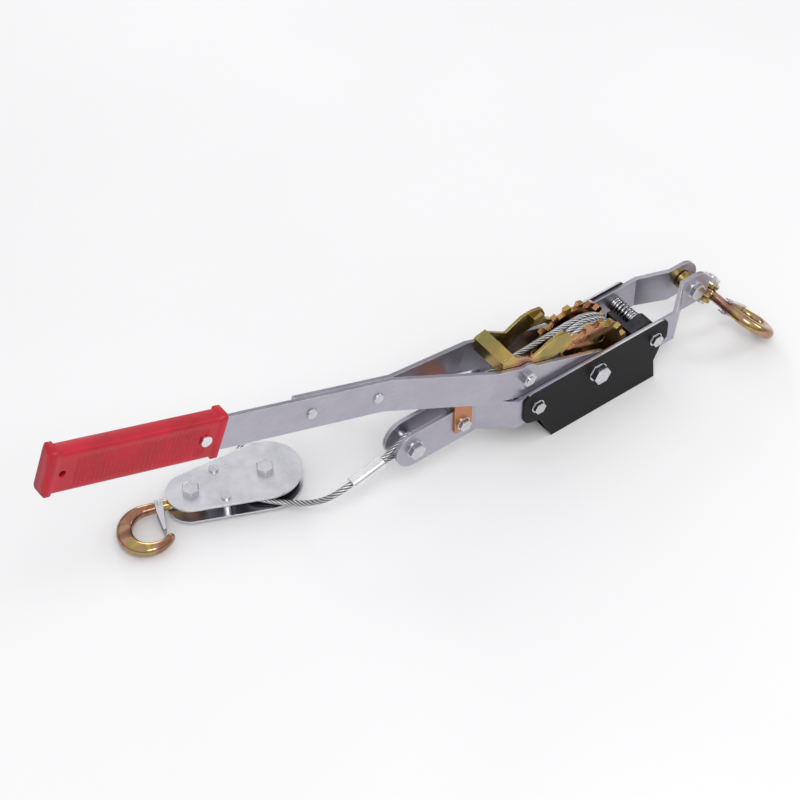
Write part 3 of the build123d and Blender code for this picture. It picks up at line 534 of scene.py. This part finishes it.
# one ring of points round the grip at a distance along it, ribs raised on both flat sides
def gripSection(cfg, along):
    fromEnd = min(along, cfg["length"] - along)
    lip = cfg["lip"] if fromEnd < cfg["lipLength"] else 0
    ease = 1.2 if fromEnd < 0.6 else 0
    half, mid = (cfg["high"] - cfg["low"]) / 2 + lip - ease, (cfg["high"] + cfg["low"]) / 2
    thick = cfg["half"] + lip * 0.35 - ease
    ribZone = min(max((along - 14) / 2.0, 0), 1) * min(max((cfg["length"] - 20 - along) / 2.0, 0), 1)
    wave = 0.5 + 0.5 * cos(2 * pi * cfg["ribs"] * (along - 14) / (cfg["length"] - 34))
    points, corner = [], 3.2
    flat = 14
    for k in range(flat + 1):
        v = -half + corner + (2 * half - 2 * corner) * k / flat
        inPanel = min(max((cfg["panel"] - abs(v)) / 1.2, 0), 1)
        points.append((v + mid, thick - cfg["ribDepth"] * inPanel * ribZone * (1 - wave ** 2)))
    for k in range(1, 6):
        a = pi / 2 * (1 - k / 6)
        points.append((mid + half - corner + corner * cos(a), thick - corner + corner * sin(a)))
    points += [(v, -w) for v, w in points[::-1][:5]]
    points += [(v, -w) for v, w in points[:flat + 1][::-1]]
    for k in range(1, 6):
        a = pi / 2 * (k / 6)
        points.append((mid - half + corner - corner * sin(a), -(thick - corner + corner * cos(a))))
    points += [(v, -w) for v, w in points[-5:][::-1]]
    return points


def makeGrip(cfg):
    a = radians(cfg["angle"])
    out, up = Vector((-cos(a), 0, sin(a))), Vector((sin(a), 0, cos(a)))
    stations = [0, 0.6, 1.2, cfg["lipLength"] - 0.4, cfg["lipLength"] + 0.4]
    middle = [8 + (cfg["length"] - 16) * i / 240 for i in range(241)]
    stations = stations + middle + [cfg["length"] - s for s in stations[::-1]]
    verts, faces = [], []
    for along in stations:
        for v, w in gripSection(cfg, along):
            place = out * (cfg["start"] + along) + up * v + Vector((0, w, 0))
            verts.append(place * mm + Vector((0, 0, axleHeight)))
    around = len(verts) // len(stations)
    for i in range(len(stations) - 1):
        for k in range(around):
            n = (k + 1) % around
            faces.append((i * around + k, i * around + n, (i + 1) * around + n, (i + 1) * around + k))
    faces.append(tuple(range(around))[::-1])
    faces.append(tuple((len(stations) - 1) * around + k for k in range(around)))
    piece = meshObject("leverGrip", verts, faces, "gripRed")
    turnOutward(piece)
    cutHole(piece, out, up, cfg)
    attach(piece, "lever")
    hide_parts("lever_grip")


def cutHole(piece, out, up, cfg):
    place = (out * (cfg["start"] + cfg["length"] - cfg["hole"]) + up * 1.5) * mm + Vector((0, 0, axleHeight))
    cutter = roundBar("holeCutter", place - Vector((0, 20 * mm, 0)), place + Vector((0, 20 * mm, 0)),
                      cfg["holeRadius"] * mm, "gripRed", 32)
    cut = piece.modifiers.new("hole", "BOOLEAN")
    cut.operation, cut.object, cut.solver = "DIFFERENCE", cutter, "EXACT"
    applyModifiers(piece)
    bpy.data.objects.remove(cutter)


def applyModifiers(piece):
    graph = bpy.context.evaluated_depsgraph_get()
    made = bpy.data.meshes.new_from_object(piece.evaluated_get(graph))
    piece.modifiers.clear()
    piece.data = made


def roundBar(name, a, b, radius, material, around=24):
    line = [a, b]
    verts, faces = [], []
    for point, (u, v, _) in zip(line, framesAlong(line)):
        verts += [point + (u * cos(2 * pi * k / around) + v * sin(2 * pi * k / around)) * radius
                  for k in range(around)]
    for k in range(around):
        n = (k + 1) % around
        faces.append((k, n, around + n, around + k))
    faces += [tuple(range(around))[::-1], tuple(around + k for k in range(around))]
    return meshObject(name, verts, faces, material, smooth=False)


makeGrip(grip)
print("grip made")

# springs

pawlSpring = {"x": 62.0, "radius": 5.6, "wire": 1.15, "from": -1.2, "to": 22.4, "turns": 8}


# a round wire wound as a helix, its end turns closed up
def coilMesh(name, centre, axis, cfg, material):
    length = cfg["to"] - cfg["from"]
    side = axis.orthogonal().normalized()
    other = axis.cross(side)
    points, count = [], cfg["turns"] * 28
    for i in range(count + 1):
        t = i / count
        eased = t - 0.045 * sin(2 * pi * t)
        angle = 2 * pi * cfg["turns"] * t
        points.append(centre + axis * (cfg["from"] + length * eased) * mm
                      + (side * cos(angle) + other * sin(angle)) * cfg["radius"] * mm)
    around, verts, faces = 12, [], []
    for point, (u, v, _) in zip(points, framesAlong(points)):
        verts += [point + (u * cos(2 * pi * k / around) + v * sin(2 * pi * k / around)) * cfg["wire"] * mm
                  for k in range(around)]
    for i in range(count):
        for k in range(around):
            n = (k + 1) % around
            faces.append((i * around + k, i * around + n, (i + 1) * around + n, (i + 1) * around + k))
    faces += [tuple(range(around))[::-1], tuple(count * around + k for k in range(around))]
    return meshObject(name, verts, faces, material)


def makePawlSpring(cfg):
    centre = Vector((cfg["x"] * mm, 0, axleHeight))
    piece = coilMesh("holdingPawlSpring", centre, Vector((0, 1, 0)), cfg, "springSteel")
    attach(piece, "frame")
    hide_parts("holding_pawl_spring")


makePawlSpring(pawlSpring)

# hooks

hookShape = {
    "reach": 44.0, "arc": 19.5, "shank": 4.2, "bowl": 6.3, "tip": 3.2, "thick": 4.7,
    "eyeOut": 10.5, "eyeIn": 5.1, "eyeHalf": 5.0, "meet": 63.7, "gap": 68, "shankTurn": -26, "shankFrom": 7.5,
    "around": 28, "voxel": 0.7, "frontDroop": 3, "rearTurn": 60.5, "rearEyeIn": 4.1,
}


# points and thickness from the eye, along the shank and round the bowl to the tip
def hookCentreline(cfg):
    tangent = radians(cfg["meet"])
    start = (cfg["reach"] - cfg["arc"] * cos(tangent), -cfg["arc"] * sin(tangent))
    away = radians(cfg["shankTurn"])
    first = (cfg["shankFrom"] * cos(away), cfg["shankFrom"] * sin(away))
    line = [
        (first[0] + (start[0] - first[0]) * t / 12, first[1] + (start[1] - first[1]) * t / 12)
        for t in range(12)
    ]
    begin, sweep = pi + tangent, radians(360 - cfg["meet"] - cfg["gap"])
    steps = 60
    for t in range(steps + 1):
        angle = begin + sweep * t / steps
        line.append((cfg["reach"] + cfg["arc"] * cos(angle), cfg["arc"] * sin(angle)))
    sizes = []
    for i in range(len(line)):
        t = i / (len(line) - 1)
        swell = sin(pi * min(max((t - 0.12) / 0.8, 0), 1)) ** 1.3
        size = cfg["shank"] + (cfg["bowl"] - cfg["shank"]) * swell
        if t > 0.8:
            size += (cfg["tip"] - size) * ((t - 0.8) / 0.2) ** 1.4
        sizes.append(size)
    return line, sizes


# a point on a circle pushed a little towards a square
def squared(angle):
    c, d = cos(angle), sin(angle)
    return abs(c) ** 0.8 * (1 if c > 0 else -1), abs(d) ** 0.8 * (1 if d > 0 else -1)


# a forging: the eye ring, shank and bowl fused by a fine remesh and smoothed
def makeHook(name, node, body, eye, xDir, normal, cfg):
    yDir = normal.cross(xDir)
    line, sizes = hookCentreline(cfg)
    points = [eye + (xDir * x + yDir * y) * mm for x, y in line]
    around, verts, faces = cfg["around"], [], []
    frames = framesAlong(points)
    for point, size, (_, _, ahead) in zip(points, sizes, frames):
        s = ahead.cross(normal).normalized()
        for k in range(around):
            c, d = squared(2 * pi * k / around)
            verts.append(point + (s * c * size * 1.04 + normal * d * min(size, cfg["thick"])) * mm)
    count = len(points)
    endDir = frames[-1][2]
    for step in range(1, 5):
        shrink = cos(pi / 2 * step / 4.5)
        push = sizes[-1] * sin(pi / 2 * step / 4.5)
        s = endDir.cross(normal).normalized()
        for k in range(around):
            c, d = squared(2 * pi * k / around)
            verts.append(points[-1] + (endDir * push + (s * c + normal * d) * sizes[-1] * shrink) * mm)
        count += 1
    for i in range(count - 1):
        for k in range(around):
            n = (k + 1) % around
            faces.append((i * around + k, i * around + n, (i + 1) * around + n, (i + 1) * around + k))
    faces += [tuple(range(around))[::-1], tuple((count - 1) * around + k for k in range(around))]
    base = len(verts)
    ring = [(cfg["eyeIn"], -1), (cfg["eyeIn"], 1), (cfg["eyeIn"] + 0.5, 1.0), (cfg["eyeOut"] - 1.6, 1.0),
            (cfg["eyeOut"], 0.62), (cfg["eyeOut"], -0.62), (cfg["eyeOut"] - 1.6, -1.0), (cfg["eyeIn"] + 0.5, -1.0)]
    turn = 64
    for j in range(turn):
        a = 2 * pi * j / turn
        verts += [eye + (xDir * cos(a) + yDir * sin(a)) * r * mm + normal * h * (cfg["eyeHalf"] - 0.4) * mm
                  for r, h in ring]
    size = len(ring)
    for j in range(turn):
        for k in range(size):
            n, m = (k + 1) % size, (j + 1) % turn
            faces.append((base + j * size + k, base + j * size + n, base + m * size + n, base + m * size + k))
    piece = meshObject(name, verts, faces, "hookChromate")
    turnOutward(piece)
    remesh = piece.modifiers.new("fuse", "REMESH")
    remesh.mode, remesh.voxel_size, remesh.use_smooth_shade = "VOXEL", cfg["voxel"] * mm, True
    soften = piece.modifiers.new("soften", "SMOOTH")
    soften.factor, soften.iterations = 0.5, 7
    applyModifiers(piece)
    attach(piece, body)
    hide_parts(node)


def jointPlace(name):
    joint = next(j for j in frame["joints"] if j["name"] == name)
    return Vector(joint["pos_m"]), Vector(joint["axis"])


def makeHooks(cfg):
    reach = Vector((-44, -6, 0)).normalized()
    tilt = Matrix.Rotation(radians(cfg["frontDroop"]), 3, Vector((0, 0, 1)).cross(reach))
    eye, _ = jointPlace("front_hook_swing")
    makeHook("frontHook", "front_hook", "front_hook", eye, tilt @ reach, tilt @ Vector((0, 0, 1)), cfg)
    eye, normal = jointPlace("rear_hook_swing")
    along = Vector((normal.z, 0, -normal.x))
    turn = radians(cfg["rearTurn"])
    reach = along * cos(turn) - Vector((0, 1, 0)) * sin(turn)
    makeHook("rearHook", "rear_hook", "rear_hook", eye, reach, normal, dict(cfg, eyeIn=cfg["rearEyeIn"]))


makeHooks(hookShape)
print("hooks made")


# floor and light

# a pale room: bright overhead, greyer towards the horizon, so metal has something to show
def makeWorld(cfg):
    world = bpy.data.worlds.new("studioWorld")
    bpy.context.scene.world = world
    p = Paint(world, "Background", "Generated")
    upward = p.node("ShaderNodeSeparateXYZ", {}, {"Vector": p.place}, "Z")
    tones = [(at, (tone, tone, tone * 1.02)) for at, tone in cfg["sky"]]
    p.set(Color=p.ramp(upward, tones), Strength=cfg["worldTone"])


def makeStudio(cfg):
    bpy.ops.mesh.primitive_plane_add(size=14, location=(0, 0, -0.0004))
    floor = bpy.context.object
    floor.name = "floor"
    p = Paint(bpy.data.materials.new("floorPaper"))
    tones = [(0.3, (cfg["floorTone"],) * 3), (0.7, (cfg["floorTone"] + 0.02,) * 3)]
    p.set(Base_Color=p.ramp(p.cloud(3, 2, 0.5), tones), Roughness=0.7)
    floor.data.materials.append(p.owner)
    makeWorld(cfg)
    for name, place, size, power in cfg["lights"]:
        light = bpy.data.objects.new(name, bpy.data.lights.new(name, "AREA"))
        bpy.context.scene.collection.objects.link(light)
        light.data.size, light.data.energy = size, power
        light.location = place
        light.rotation_euler = (Vector(place) - Vector((-0.1, 0, 0))).to_track_quat("Z", "Y").to_euler()
    bpy.context.scene.view_settings.view_transform = "Standard"


makeStudio(studio)
print("studio made")
